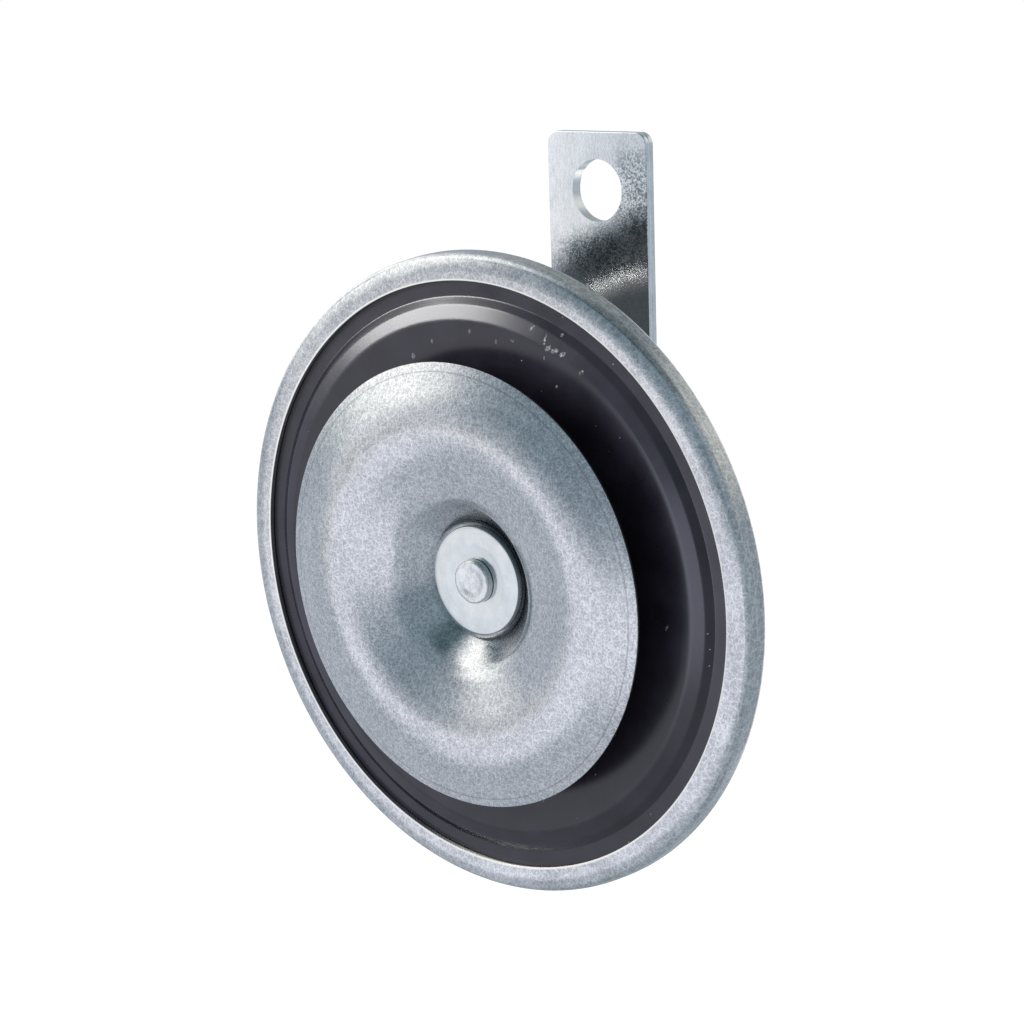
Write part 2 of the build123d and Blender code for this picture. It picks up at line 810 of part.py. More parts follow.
# ---------------------------------------------------------------- bracket and its fixing
# Two like leaves lie face to face, clamped on the core's stud; broken edges show a fine groove
# between them.
for leaf_name, leaf_back, leaf_thickness in (
    ("bracket_leaf_front", mount_station - rear_leaf_thickness, front_leaf_thickness),
    ("bracket_leaf_rear", mount_station, rear_leaf_thickness),
):
    with BuildPart() as bracket_leaf:
        with BuildSketch(face_at(leaf_back)) as leaf_outline:
            Rectangle(bracket_width, axis_drop + bracket_top_margin, align=(Align.CENTER, Align.MIN))
            fillet(leaf_outline.vertices().group_by(Axis.Y)[-1], radius=bracket_corner)
            Circle(bracket_width / 2)
        extrude(amount=leaf_thickness)
        fillet(bracket_leaf.faces().filter_by(Axis.Y).edges(), radius=leaf_edge)
        with BuildSketch(face_at(leaf_back)):
            Circle(stud_hole)
            with Locations((0, axis_drop)):
                Circle(mount_hole_radius)
        extrude(amount=leaf_thickness, mode=Mode.SUBTRACT)
    write(bracket_leaf, leaf_name)

# Split spring washer
with BuildPart() as bracket_lock_washer:
    with BuildSketch(face_at(lock_washer_back)):
        Circle(lock_washer_radius)
        Circle(stud_hole, mode=Mode.SUBTRACT)
        with Locations(Location((lock_washer_radius, 0), lock_washer_turn)):
            Rectangle(2 * lock_washer_radius - stud_radius, lock_washer_slit, mode=Mode.SUBTRACT)
    extrude(amount=lock_washer_thickness)
write(bracket_lock_washer, "bracket_lock_washer")

bracket_nut = hex_nut(0, 0, nut_back, nut_thickness, nut_across_flats, stud_radius + screw_play, nut_chamfer)
write(bracket_nut, "bracket_nut")
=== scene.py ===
import bpy, bmesh, json, math
from mathutils import Matrix, Vector, noise

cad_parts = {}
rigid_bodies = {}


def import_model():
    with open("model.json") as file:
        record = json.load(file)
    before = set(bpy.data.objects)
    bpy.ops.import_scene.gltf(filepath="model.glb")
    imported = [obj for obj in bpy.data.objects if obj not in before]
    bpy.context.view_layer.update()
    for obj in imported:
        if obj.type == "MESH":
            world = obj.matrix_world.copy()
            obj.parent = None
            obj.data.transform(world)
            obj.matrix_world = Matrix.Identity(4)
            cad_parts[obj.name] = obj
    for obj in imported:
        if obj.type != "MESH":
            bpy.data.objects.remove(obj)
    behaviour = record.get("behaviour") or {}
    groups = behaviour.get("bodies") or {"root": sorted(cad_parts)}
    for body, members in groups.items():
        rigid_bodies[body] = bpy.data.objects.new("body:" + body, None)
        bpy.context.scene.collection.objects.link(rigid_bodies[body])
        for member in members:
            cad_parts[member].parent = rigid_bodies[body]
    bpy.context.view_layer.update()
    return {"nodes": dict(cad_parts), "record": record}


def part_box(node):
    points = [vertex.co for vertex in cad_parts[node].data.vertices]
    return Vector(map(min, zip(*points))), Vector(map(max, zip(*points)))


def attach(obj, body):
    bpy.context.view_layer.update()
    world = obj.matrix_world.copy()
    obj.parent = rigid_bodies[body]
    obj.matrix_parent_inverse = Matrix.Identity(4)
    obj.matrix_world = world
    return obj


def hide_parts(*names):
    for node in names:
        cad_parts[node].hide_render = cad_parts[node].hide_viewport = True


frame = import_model()
mm = 0.001
ignored = 1e9  # a pattern's size along an axis that it takes no notice of

# Where the horn's axis runs, and the front plane of the crimped lip
ringLow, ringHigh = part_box("crimp_ring")
ringDepth = 3.9 * mm
axisHeight = (ringLow.z + ringHigh.z) / 2
lipPlane = ringHigh.y - ringDepth
horn = Vector((0, lipPlane, axisHeight))


def roundedPath(points, bends, steps=10):
    # A run of straight lines with its inner corners turned into arcs, as a dense list of points.
    points = [Vector(p) for p in points]
    path = [points[0]]
    for before, corner, after, bend in zip(points, points[1:], points[2:], bends):
        toBefore, toAfter = (before - corner).normalized(), (after - corner).normalized()
        half = toBefore.angle(toAfter) / 2
        middle = corner + (toBefore + toAfter).normalized() * bend / math.sin(half)
        start = corner + toBefore * bend / math.tan(half) - middle
        end = corner + toAfter * bend / math.tan(half) - middle
        turn = start.angle_signed(end)
        for i in range(steps + 1):
            # angle_signed is clockwise, so the arc is turned the other way
            swing = -turn * i / steps
            c, s = math.cos(swing), math.sin(swing)
            path.append(middle + Vector((start.x * c - start.y * s, start.x * s + start.y * c)))
    path.append(points[-1])
    return path


def subdivide(path, longest):
    # Long straight stretches get points between, so that the turned surface has even faces.
    dense = [path[0]]
    for a, b in zip(path, path[1:]):
        count = max(1, math.ceil((b - a).length / longest))
        dense += [a.lerp(b, i / count) for i in range(1, count + 1)]
    return dense


def sheetOutline(path, thickness, edge, steps=5):
    # Closed outline of a drawn sheet: the front path, a rounded cut edge, the back, a cut edge.
    def normalAt(i):
        before, after = path[max(i - 1, 0)], path[min(i + 1, len(path) - 1)]
        along = (after - before).normalized()
        return Vector((-along.y, along.x))

    def cutEdge(end, outward, normal):
        arc = []
        for centre, turnFrom in ((end + normal * edge, -90), (end + normal * (thickness - edge), 0)):
            for i in range(steps + 1):
                angle = math.radians(turnFrom + 90 * i / steps)
                inner = centre - outward * edge
                arc.append(inner + outward * edge * math.cos(angle) + normal * edge * math.sin(angle))
        return arc

    startWay, endWay = (path[0] - path[1]).normalized(), (path[-1] - path[-2]).normalized()
    front = path[1:-1]
    back = [path[i] + normalAt(i) * thickness for i in range(1, len(path) - 1)]
    start = cutEdge(path[0], startWay, normalAt(0))
    end = cutEdge(path[-1], endWay, normalAt(len(path) - 1))
    return front + end + back[::-1] + start[::-1]


lathe = {
    "pitchRadius": 20 * mm, "weld": 0.001 * mm, "mergeNear": 0.0005 * mm, "segments": 360, "sharpAngle": 34,
}


def latheTree():
    # Geometry Nodes: a half section, drawn in X and Y, is carried round the axis.
    tree = bpy.data.node_groups.new("turnedSheet", "GeometryNodeTree")
    interface = tree.interface
    interface.new_socket("Half Section", in_out="INPUT", socket_type="NodeSocketGeometry")
    interface.new_socket("Segments", in_out="INPUT", socket_type="NodeSocketInt")
    interface.new_socket("Pitch Radius", in_out="INPUT", socket_type="NodeSocketFloat")
    interface.new_socket("Axis Origin", in_out="INPUT", socket_type="NodeSocketVector")
    interface.new_socket("Finish", in_out="INPUT", socket_type="NodeSocketMaterial")
    interface.new_socket("Turned Piece", in_out="OUTPUT", socket_type="NodeSocketGeometry")
    nodes, link = tree.nodes, tree.links.new
    inputs, outputs = nodes.new("NodeGroupInput"), nodes.new("NodeGroupOutput")
    section = nodes.new("GeometryNodeMeshToCurve")
    inward = nodes.new("ShaderNodeMath")
    inward.operation = "MULTIPLY"
    inward.inputs[1].default_value = -1
    shiftBy = nodes.new("ShaderNodeCombineXYZ")
    shifted = nodes.new("GeometryNodeTransform")
    circle = nodes.new("GeometryNodeCurvePrimitiveCircle")
    turned = nodes.new("GeometryNodeCurveToMesh")
    placed = nodes.new("GeometryNodeTransform")
    placed.inputs["Rotation"].default_value = (math.pi / 2, 0, 0)
    welded = nodes.new("GeometryNodeMergeByDistance")
    welded.inputs["Distance"].default_value = lathe["weld"]
    smooth = nodes.new("GeometryNodeSetShadeSmooth")
    real = nodes.new("GeometryNodeRealizeInstances")
    painted = nodes.new("GeometryNodeSetMaterial")
    link(inputs.outputs["Half Section"], section.inputs["Mesh"])
    link(inputs.outputs["Pitch Radius"], inward.inputs[0])
    link(inward.outputs[0], shiftBy.inputs["X"])
    link(section.outputs["Curve"], shifted.inputs["Geometry"])
    link(shiftBy.outputs[0], shifted.inputs["Translation"])
    link(inputs.outputs["Segments"], circle.inputs["Resolution"])
    link(inputs.outputs["Pitch Radius"], circle.inputs["Radius"])
    link(circle.outputs["Curve"], turned.inputs["Curve"])
    link(shifted.outputs["Geometry"], turned.inputs["Profile Curve"])
    link(turned.outputs["Mesh"], placed.inputs["Geometry"])
    link(inputs.outputs["Axis Origin"], placed.inputs["Translation"])
    link(placed.outputs["Geometry"], welded.inputs["Geometry"])
    link(welded.outputs["Geometry"], smooth.inputs["Geometry"])
    link(smooth.outputs["Geometry"], real.inputs["Geometry"])
    link(real.outputs["Geometry"], painted.inputs["Geometry"])
    link(inputs.outputs["Finish"], painted.inputs["Material"])
    link(painted.outputs["Geometry"], outputs.inputs["Turned Piece"])
    return tree


def plainMesh(source, name):
    # The evaluated result as a mesh of its own, with the modifiers left behind.
    bpy.context.view_layer.update()
    evaluated = source.evaluated_get(bpy.context.evaluated_depsgraph_get())
    mesh = bpy.data.meshes.new_from_object(evaluated)
    mesh.name = name
    bpy.data.objects.remove(source)
    piece = bpy.data.objects.new(name, mesh)
    bpy.context.scene.collection.objects.link(piece)
    return piece


def faceOutwards(piece):
    work = bmesh.new()
    work.from_mesh(piece.data)
    bmesh.ops.remove_doubles(work, verts=work.verts, dist=lathe["mergeNear"])
    bmesh.ops.recalc_face_normals(work, faces=work.faces)
    work.to_mesh(piece.data)
    work.free()


def fillInputs(modifier, tree, values):
    # Inputs are set by the socket's identifier.
    for item in tree.interface.items_tree:
        if item.in_out == "INPUT" and item.name in values:
            modifier[item.identifier] = values[item.name]


def turn(name, outline, closed, finish, segments=lathe["segments"], sharp=lathe["sharpAngle"]):
    # Outline points are (radius, station) in metres; the station runs back from the lip plane.
    mesh = bpy.data.meshes.new(name + "Section")
    count = len(outline)
    edges = [(i, i + 1) for i in range(count - 1)] + ([(count - 1, 0)] if closed else [])
    mesh.from_pydata([(p.x, p.y, 0) for p in outline], edges, [])
    source = bpy.data.objects.new(name + "Section", mesh)
    bpy.context.scene.collection.objects.link(source)
    modifier = source.modifiers.new("turned", "NODES")
    modifier.node_group = turnedSheet
    fillInputs(modifier, turnedSheet, {
        "Segments": segments, "Pitch Radius": lathe["pitchRadius"], "Axis Origin": tuple(horn),
        "Finish": finish})
    piece = plainMesh(source, name)
    faceOutwards(piece)
    piece.data.set_sharp_from_angle(angle=math.radians(sharp))
    return piece


def settle(piece, slot, *nodes):
    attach(piece, "root")
    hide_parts(*nodes)
    return piece


class NodeBench:
    # Short calls for the nodes that the finishes below share.
    def __init__(self, name):
        self.material = bpy.data.materials.new(name)
        self.material.use_nodes = True
        self.nodes = self.material.node_tree.nodes
        self.link = self.material.node_tree.links.new
        self.shader = self.nodes["Principled BSDF"]
        self.place = self.nodes.new("ShaderNodeTexCoord").outputs["Object"]

    def mapped(self, scale=(1, 1, 1), centre=(0, 0, 0), tilt=(0, 0, 0), place=None):
        # Moved to a centre, then turned and scaled about it, as a texture is.
        mapping = self.nodes.new("ShaderNodeMapping")
        mapping.vector_type = "TEXTURE"
        mapping.inputs["Location"].default_value = centre
        mapping.inputs["Rotation"].default_value = tilt
        mapping.inputs["Scale"].default_value = [1 / factor if factor else ignored for factor in scale]
        self.link(place or self.place, mapping.inputs["Vector"])
        return mapping.outputs[0]

    def noise(self, scale, place=None, detail=2.0, roughness=0.55):
        noise = self.nodes.new("ShaderNodeTexNoise")
        noise.inputs["Scale"].default_value = scale
        noise.inputs["Detail"].default_value = detail
        noise.inputs["Roughness"].default_value = roughness
        self.link(place or self.place, noise.inputs["Vector"])
        return noise.outputs["Fac"]

    def cells(self, scale, place=None, feature="F1", output="Color"):
        cells = self.nodes.new("ShaderNodeTexVoronoi")
        cells.feature = feature
        cells.inputs["Scale"].default_value = scale
        self.link(place or self.place, cells.inputs["Vector"])
        return cells.outputs[output]

    def wobble(self, scale, amount):
        # The place, pushed about by noise, so that cells get ragged borders.
        noise = self.nodes.new("ShaderNodeTexNoise")
        noise.inputs["Scale"].default_value = scale
        self.link(self.place, noise.inputs["Vector"])
        add = self.nodes.new("ShaderNodeVectorMath")
        add.operation = "MULTIPLY_ADD"
        add.inputs[1].default_value = (amount, amount, amount)
        self.link(noise.outputs["Color"], add.inputs[0])
        self.link(self.place, add.inputs[2])
        return add.outputs[0]

    def radius(self):
        # Distance from the horn's axis, in metres.
        split = self.nodes.new("ShaderNodeVectorMath")
        split.operation = "MULTIPLY"
        split.inputs[1].default_value = (1, 0, 1)
        self.link(self.mapped(centre=horn), split.inputs[0])
        return self.distance(split.outputs[0])

    def math(self, operation, a, b=0.0):
        node = self.nodes.new("ShaderNodeMath")
        node.operation = operation
        for socket, value in zip(node.inputs, (a, b)):
            if isinstance(value, (int, float)):
                socket.default_value = value
            else:
                self.link(value, socket)
        return node.outputs[0]

    def blend(self, *shares):
        # Weighted sum of several values.
        total = 0.0
        for value, share in shares:
            total = self.math("ADD", self.math("MULTIPLY", value, share), total)
        return total

    def addScaled(self, value, colour, base):
        # The colour taken as many times as the value says, on top of the base.
        node = self.nodes.new("ShaderNodeVectorMath")
        node.operation = "MULTIPLY_ADD"
        self.link(value, node.inputs[0])
        node.inputs[1].default_value = colour
        if isinstance(base, tuple):
            node.inputs[2].default_value = base
        else:
            self.link(base, node.inputs[2])
        return node.outputs[0]

    def distance(self, place):
        length = self.nodes.new("ShaderNodeVectorMath")
        length.operation = "LENGTH"
        self.link(place, length.inputs[0])
        return length.outputs["Value"]

    def between(self, value, low, high, fromLow=0.0, fromHigh=1.0, smooth=False):
        node = self.nodes.new("ShaderNodeMapRange")
        node.interpolation_type = "SMOOTHSTEP" if smooth else "LINEAR"
        limits = {"From Min": fromLow, "From Max": fromHigh, "To Min": low, "To Max": high}
        for name, number in limits.items():
            node.inputs[name].default_value = number
        self.link(value, node.inputs["Value"])
        return node.outputs[0]

    def ramp(self, value, *stops):
        node = self.nodes.new("ShaderNodeValToRGB")
        elements = node.color_ramp.elements
        while len(elements) < len(stops):
            elements.new(0.5)
        for element, (position, colour) in zip(elements, stops):
            element.position = position
            element.color = (*colour, 1)
        self.link(value, node.inputs[0])
        return node.outputs[0]

    def mix(self, factor, a, b):
        node = self.nodes.new("ShaderNodeMix")
        node.data_type = "RGBA"
        for name, value in (("Factor", factor), ("A", a), ("B", b)):
            socket = node.inputs[name]
            if isinstance(value, tuple):
                socket.default_value = (*value, 1)
            else:
                self.link(value, socket)
        return node.outputs["Result"]

    def bump(self, height, distance, strength=1.0, below=None):
        node = self.nodes.new("ShaderNodeBump")
        node.inputs["Strength"].default_value = strength
        node.inputs["Distance"].default_value = distance
        self.link(height, node.inputs["Height"])
        if below is not None:
            self.link(below, node.inputs["Normal"])
        return node.outputs[0]

    def finish(self, colour, roughness, normal=None, **constants):
        names = {
            "metallic": "Metallic", "specular": "Specular IOR Level", "coat": "Coat Weight",
            "coatRoughness": "Coat Roughness",
        }
        for key, value in constants.items():
            self.shader.inputs[names[key]].default_value = value
        self.link(colour, self.shader.inputs["Base Color"])
        if isinstance(roughness, float):
            self.shader.inputs["Roughness"].default_value = roughness
        else:
            self.link(roughness, self.shader.inputs["Roughness"])
        if normal is not None:
            self.link(normal, self.shader.inputs["Normal"])
        return self.material


print("frame loaded")

galvanised = {
    "dark": (0.40, 0.415, 0.43), "pale": (0.80, 0.80, 0.805), "spread": (0.385, 0.635),
    # How fine each layer is, and the widths of its lines; seams and ragged borders go by the crystals' size
    "mottle": 4000, "network": 2200, "networkWidth": 0.06, "grain": 1500, "grainAcross": 2.6,
    "lines": 2800, "lineScale": (0.05, 1, 0.05), "cloud": 130,
    "ragged": (1.6, 0.5), "seams": 0.7, "seamWidth": 0.13, "rough": (0.11, 0.20), "relief": 0.005 * mm,
    # Dark colour for the painted shade in the washer's crease and for the press mark; pale colour for the
    # bare cut edge
    "shadeAndMarkColour": (0.10, 0.12, 0.13), "bare": (0.93, 0.90, 0.82),
    # What each layer adds to the tone and to the relief; rolled lines take their share from the mottle
    "shares": {
        "crystals": 0.07, "mottle": 0.50, "network": 0.13, "grain": 0.20, "cloud": 0.10, "seams": 0.09,
    },
    "reliefs": {"mottle": 0.9, "grain": 0.4, "lines": 4, "network": 0.5},
    # The press mark and the bare cut edge: how strong each is, and over how many mm it fades
    "markStrength": 0.75, "markFade": (0.03, 0.16), "bareStrength": 0.9, "bareFade": 0.14,
}
ringPlating = {**galvanised, "crystals": 1200, "grainLength": 1.2, "lineShare": 0.22, "bareEdge": 42.22}
discPlating = {
    **galvanised, "crystals": 1500, "grainLength": 0.5, "lineShare": 0.0,
    # Painted shade in the crease round the washer: its radii in mm and its strength
    "creaseShadeReach": (8.0, 9.4), "creaseShadeStrength": 0.5, "pressMark": 30.35,
}


def galvanisedFinish(name, settings):
    # Zinc crystals crossed by a fine bright network, over a close mottle and the grain of the rolled sheet.
    # The painted crease shade's reach, the press mark and the bare edge are radii in mm.
    bench = NodeBench(name)
    size, lines = settings["crystals"], settings["lineShare"]
    shares, reliefs = settings["shares"], settings["reliefs"]
    fineness, reach = settings["ragged"]
    ragged = bench.wobble(size * fineness, reach / size)
    crystals = bench.cells(size, ragged)
    mottle = bench.noise(settings["mottle"], detail=3.0, roughness=0.7)
    halfway = bench.math("SUBTRACT", bench.noise(settings["network"], detail=2.0), 0.5)
    network = bench.between(bench.math("ABSOLUTE", halfway), 1, 0, 0.0, settings["networkWidth"])
    borders = bench.cells(size * settings["seams"], ragged, "DISTANCE_TO_EDGE", "Distance")
    seams = bench.between(borders, 1, 0, 0.0, settings["seamWidth"])
    stretch = (settings["grainAcross"], settings["grainAcross"], settings["grainLength"])
    grained = bench.noise(settings["grain"], bench.mapped(scale=stretch), detail=2.0)
    rolled = bench.noise(settings["lines"], bench.mapped(scale=settings["lineScale"]), detail=2.0)
    tone = bench.blend(
        (crystals, shares["crystals"]), (mottle, shares["mottle"] - lines), (network, shares["network"]),
        (grained, shares["grain"]), (rolled, lines), (bench.noise(settings["cloud"]), shares["cloud"]),
        (seams, shares["seams"]))
    low, high = settings["spread"]
    colour = bench.ramp(tone, (low, settings["dark"]), (high, settings["pale"]))
    radius = bench.radius()
    if "creaseShadeReach" in settings:
        # Painted shade: the crease round the washer is darkened, standing for the shadow there.
        inner, outer = settings["creaseShadeReach"]
        shadedCrease = bench.between(radius, settings["creaseShadeStrength"], 0, inner * mm, outer * mm, smooth=True)
        colour = bench.mix(shadedCrease, colour, settings["shadeAndMarkColour"])
    if "pressMark" in settings:
        near, far = settings["markFade"]
        offset = bench.math("ABSOLUTE", bench.math("SUBTRACT", radius, settings["pressMark"] * mm))
        line = bench.between(offset, settings["markStrength"], 0, near * mm, far * mm)
        colour = bench.mix(bench.math("MULTIPLY", line, mottle), colour, settings["shadeAndMarkColour"])
    if "bareEdge" in settings:
        edge, faded = settings["bareEdge"] * mm, (settings["bareEdge"] + settings["bareFade"]) * mm
        worn = bench.between(radius, settings["bareStrength"], 0, edge, faded)
        colour = bench.mix(worn, colour, settings["bare"])
    normal = None
    for height, strength in (
            (mottle, reliefs["mottle"]), (grained, reliefs["grain"]), (rolled, reliefs["lines"] * lines),
            (network, reliefs["network"])):
        normal = bench.bump(height, settings["relief"], strength, normal)
    return bench.finish(colour, bench.between(crystals, *settings["rough"]), normal, metallic=1.0)


washerZinc = {
    "dark": (0.60, 0.63, 0.625), "pale": (0.70, 0.725, 0.715), "spread": (0.35, 0.6), "rough": (0.12, 0.20),
    "cloud": 520, "fine": 2600, "fineShare": 0.2, "ringPitch": 0.62 * mm, "ringRelief": 0.0012 * mm,
    "pits": 1900, "pitRelief": 0.004 * mm, "bump": 0.5,
    # Painted shade: a dark line on the rim's rounded edge, standing for its shadow; its colour, strength and
    # radii
    "rim": (0.16, 0.18, 0.19), "rimShadeStrength": 0.85, "rimShadeReach": (7.66 * mm, 7.74 * mm),
}


def washerFinish(settings):
    # Bright plating with faint rings from turning, and a painted shade line round the rim.
    bench = NodeBench("washerBright")
    radius, fine = bench.radius(), settings["fineShare"]
    cloud = bench.noise(settings["cloud"], detail=4.0)
    rings = bench.math("SINE", bench.math("MULTIPLY", radius, 2 * math.pi / settings["ringPitch"]))
    tone = bench.blend((cloud, 1 - fine), (bench.noise(settings["fine"]), fine))
    low, high = settings["spread"]
    colour = bench.ramp(tone, (low, settings["dark"]), (high, settings["pale"]))
    # Painted shade: the rim's rounded edge is darkened.
    rim = bench.between(radius, 0, settings["rimShadeStrength"], *settings["rimShadeReach"])
    colour = bench.mix(rim, colour, settings["rim"])
    pitted = bench.bump(bench.noise(settings["pits"]), settings["pitRelief"], settings["bump"])
    normal = bench.bump(rings, settings["ringRelief"], settings["bump"], pitted)
    return bench.finish(colour, bench.between(cloud, *settings["rough"]), normal, metallic=1.0)


platedSteel = {
    "cloud": 240, "grain": 2000, "grainScale": (2.2, 2.2, 1.0), "speckle": 2400, "spread": (0.38, 0.6),
    "shares": {"cloud": 0.25, "grain": 0.4, "speckle": 0.35}, "bump": 0.6, "speckleDepth": 2.0,
}
fixingPlating = {
    **platedSteel, "dark": (0.58, 0.61, 0.63), "pale": (0.84, 0.86, 0.87), "rough": (0.20, 0.34),
    "relief": 0.008 * mm,
}
peenedPlating = {
    **platedSteel, "dark": (0.56, 0.57, 0.57), "pale": (0.84, 0.85, 0.84), "rough": (0.16, 0.30),
    "relief": 0.010 * mm,
}


def zincFinish(name, settings):
    # Plated steel: a soft cloud, a rolled grain up the piece, and a speckled relief.
    bench = NodeBench(name)
    shares, relief = settings["shares"], settings["relief"]
    cloud = bench.noise(settings["cloud"], detail=3.0)
    grained = bench.noise(settings["grain"], bench.mapped(scale=settings["grainScale"]), detail=3.0)
    speckled = bench.noise(settings["speckle"], detail=4.0, roughness=0.7)
    tone = bench.blend((cloud, shares["cloud"]), (grained, shares["grain"]), (speckled, shares["speckle"]))
    low, high = settings["spread"]
    colour = bench.ramp(tone, (low, settings["dark"]), (high, settings["pale"]))
    normal = bench.bump(speckled, relief * settings["speckleDepth"], settings["bump"])
    normal = bench.bump(grained, relief, settings["bump"], normal)
    return bench.finish(colour, bench.between(grained, *settings["rough"]), normal, metallic=1.0)


strapPlating = {
    "dark": (0.68, 0.71, 0.72), "pale": (0.96, 0.96, 0.96), "spread": (0.36, 0.56), "rough": (0.03, 0.08),
    "pits": 3600, "grain": 2000, "grainScale": (2.2, 2.2, 0.3), "cloud": 260,
    "shares": {"cloud": 0.3, "grain": 0.35, "pits": 0.35},
    "relief": 0.012 * mm, "pitBump": 0.8, "grainBump": 0.25,
    "bow": 0.045,  # leans its reflections only: the sheet itself is flat
    "speckle": 900, "speckSize": 0.10, "speckStrength": 0.6,
    # Painted dark reflections of the ring and housing, where the strap's front mirrors them: (centre across,
    # centre up, half width, half height), in mm
    "reflectionPatches": [(6.6, -1.0, 5.0, 9.5), (1.0, -9.5, 11.0, 5.0)],
    # A painted reflection fades between these shares of its size, is broken up by pits, and lies ahead of
    # this face, in mm
    "reflectionDark": (0.20, 0.24, 0.25), "reflectionFade": (0.35, 1.15), "reflectionPits": 0.8, "reflectionBreak": (0.43, 0.56),
    "frontFace": -1.7,
}


def strapFinish(settings):
    # Bright plating over a finely pitted sheet, with painted dark reflections in patches.
    bench = NodeBench("strapZinc")
    shares, pits = settings["shares"], settings["reflectionPits"]
    pitted = bench.noise(settings["pits"], detail=3.0, roughness=0.75)
    grained = bench.noise(settings["grain"], bench.mapped(scale=settings["grainScale"]), detail=2.0)
    cloud = bench.noise(settings["cloud"], detail=4.0)
    specks = bench.cells(settings["speckle"], output="Distance")
    specks = bench.math("LESS_THAN", specks, settings["speckSize"])
    paintedReflection = 0.0
    for across, up, halfWidth, halfHeight in settings["reflectionPatches"]:
        centre = (across * mm, 0, up * mm)
        reach = bench.distance(bench.mapped((1 / (halfWidth * mm), 0, 1 / (halfHeight * mm)), centre))
        mirroredPatch = bench.between(reach, 1, 0, *settings["reflectionFade"], smooth=True)
        paintedReflection = bench.math("MAXIMUM", mirroredPatch, paintedReflection)
    mottled = bench.between(bench.blend((pitted, pits), (cloud, 1 - pits)), 1, 0, *settings["reflectionBreak"])
    split = bench.nodes.new("ShaderNodeSeparateXYZ")
    bench.link(bench.place, split.inputs[0])
    ahead = bench.math("LESS_THAN", split.outputs["Y"], settings["frontFace"] * mm)
    paintedReflection = bench.math("MULTIPLY", bench.math("MULTIPLY", paintedReflection, mottled), ahead)
    tone = bench.blend((cloud, shares["cloud"]), (grained, shares["grain"]), (pitted, shares["pits"]))
    low, high = settings["spread"]
    colour = bench.ramp(tone, (low, settings["dark"]), (high, settings["pale"]))
    # Painted reflection: dark patches on the front face stand for the ring and housing mirrored in it.
    colour = bench.mix(paintedReflection, colour, settings["reflectionDark"])
    colour = bench.mix(bench.math("MULTIPLY", specks, settings["speckStrength"]), colour, settings["pale"])
    normal = bench.bump(split.outputs["Z"], settings["bow"])
    normal = bench.bump(pitted, settings["relief"], settings["pitBump"], normal)
    normal = bench.bump(grained, settings["relief"], settings["grainBump"], normal)
    return bench.finish(colour, bench.between(cloud, *settings["rough"]), normal, metallic=1.0)


enamel = {
    "cloud": 130, "spread": (0.3, 0.7), "peel": 1200, "peelRelief": 0.006 * mm, "peelBump": 0.4,
    # Loose dust: how fine its grains are, and the patches that have any
    "grains": 560, "grainSize": 0.05, "patches": 70, "patchFrom": 0.57,
    # Marks: a torn outline, filled with flakes
    "flakes": 4200, "flakeBreak": (0.42, 0.62), "flakeStrength": 0.7, "tears": 2600, "tearReach": 0.45 * mm,
    "markFade": (0.3, 0.62), "dustRough": 0.7, "dustRelief": 0.03 * mm, "dustBump": 0.6,
    "coatRough": 0.06,
}
blackPaint = {
    **enamel, "deep": (0.011, 0.010, 0.016), "worn": (0.025, 0.022, 0.035), "rough": (0.18, 0.27),
    "dust": (0.46, 0.46, 0.48), "gloss": 0.5, "coat": 0.0,
    # Dust and small scuffs: (angle, radius, length, width, turn), in degrees and mm
    "marks": [
        (101.2, 34.2, 0.5, 0.4, 0), (76.9, 35.7, 0.6, 0.5, 20), (81.6, 34.7, 0.6, 0.4, 10),
        (89.3, 35.4, 0.7, 0.5, 40), (108.6, 32.8, 0.9, 0.6, 15), (72.6, 38.5, 0.8, 0.4, 50),
        (68.8, 37.9, 1.5, 0.3, 8), (67.3, 37.1, 1.1, 0.7, 60), (65.6, 37.3, 1.2, 0.6, 70),
        (63.6, 37.5, 1.3, 0.5, 62), (65.8, 39.5, 0.4, 0.4, 0), (67.6, 35.5, 0.5, 0.3, 0),
        (62.3, 32.9, 0.5, 0.4, 30), (57.8, 37.2, 0.9, 0.5, 40), (357.6, 32.8, 1.1, 0.28, 35),
        (289.3, 32.3, 0.4, 0.3, 0),
    ],
}
glossEnamel = {
    **enamel, "deep": (0.022, 0.028, 0.032), "worn": (0.038, 0.047, 0.053), "rough": (0.10, 0.18),
    "dust": (0.30, 0.31, 0.32), "gloss": 1.0, "coat": 1.0, "marks": [],
}


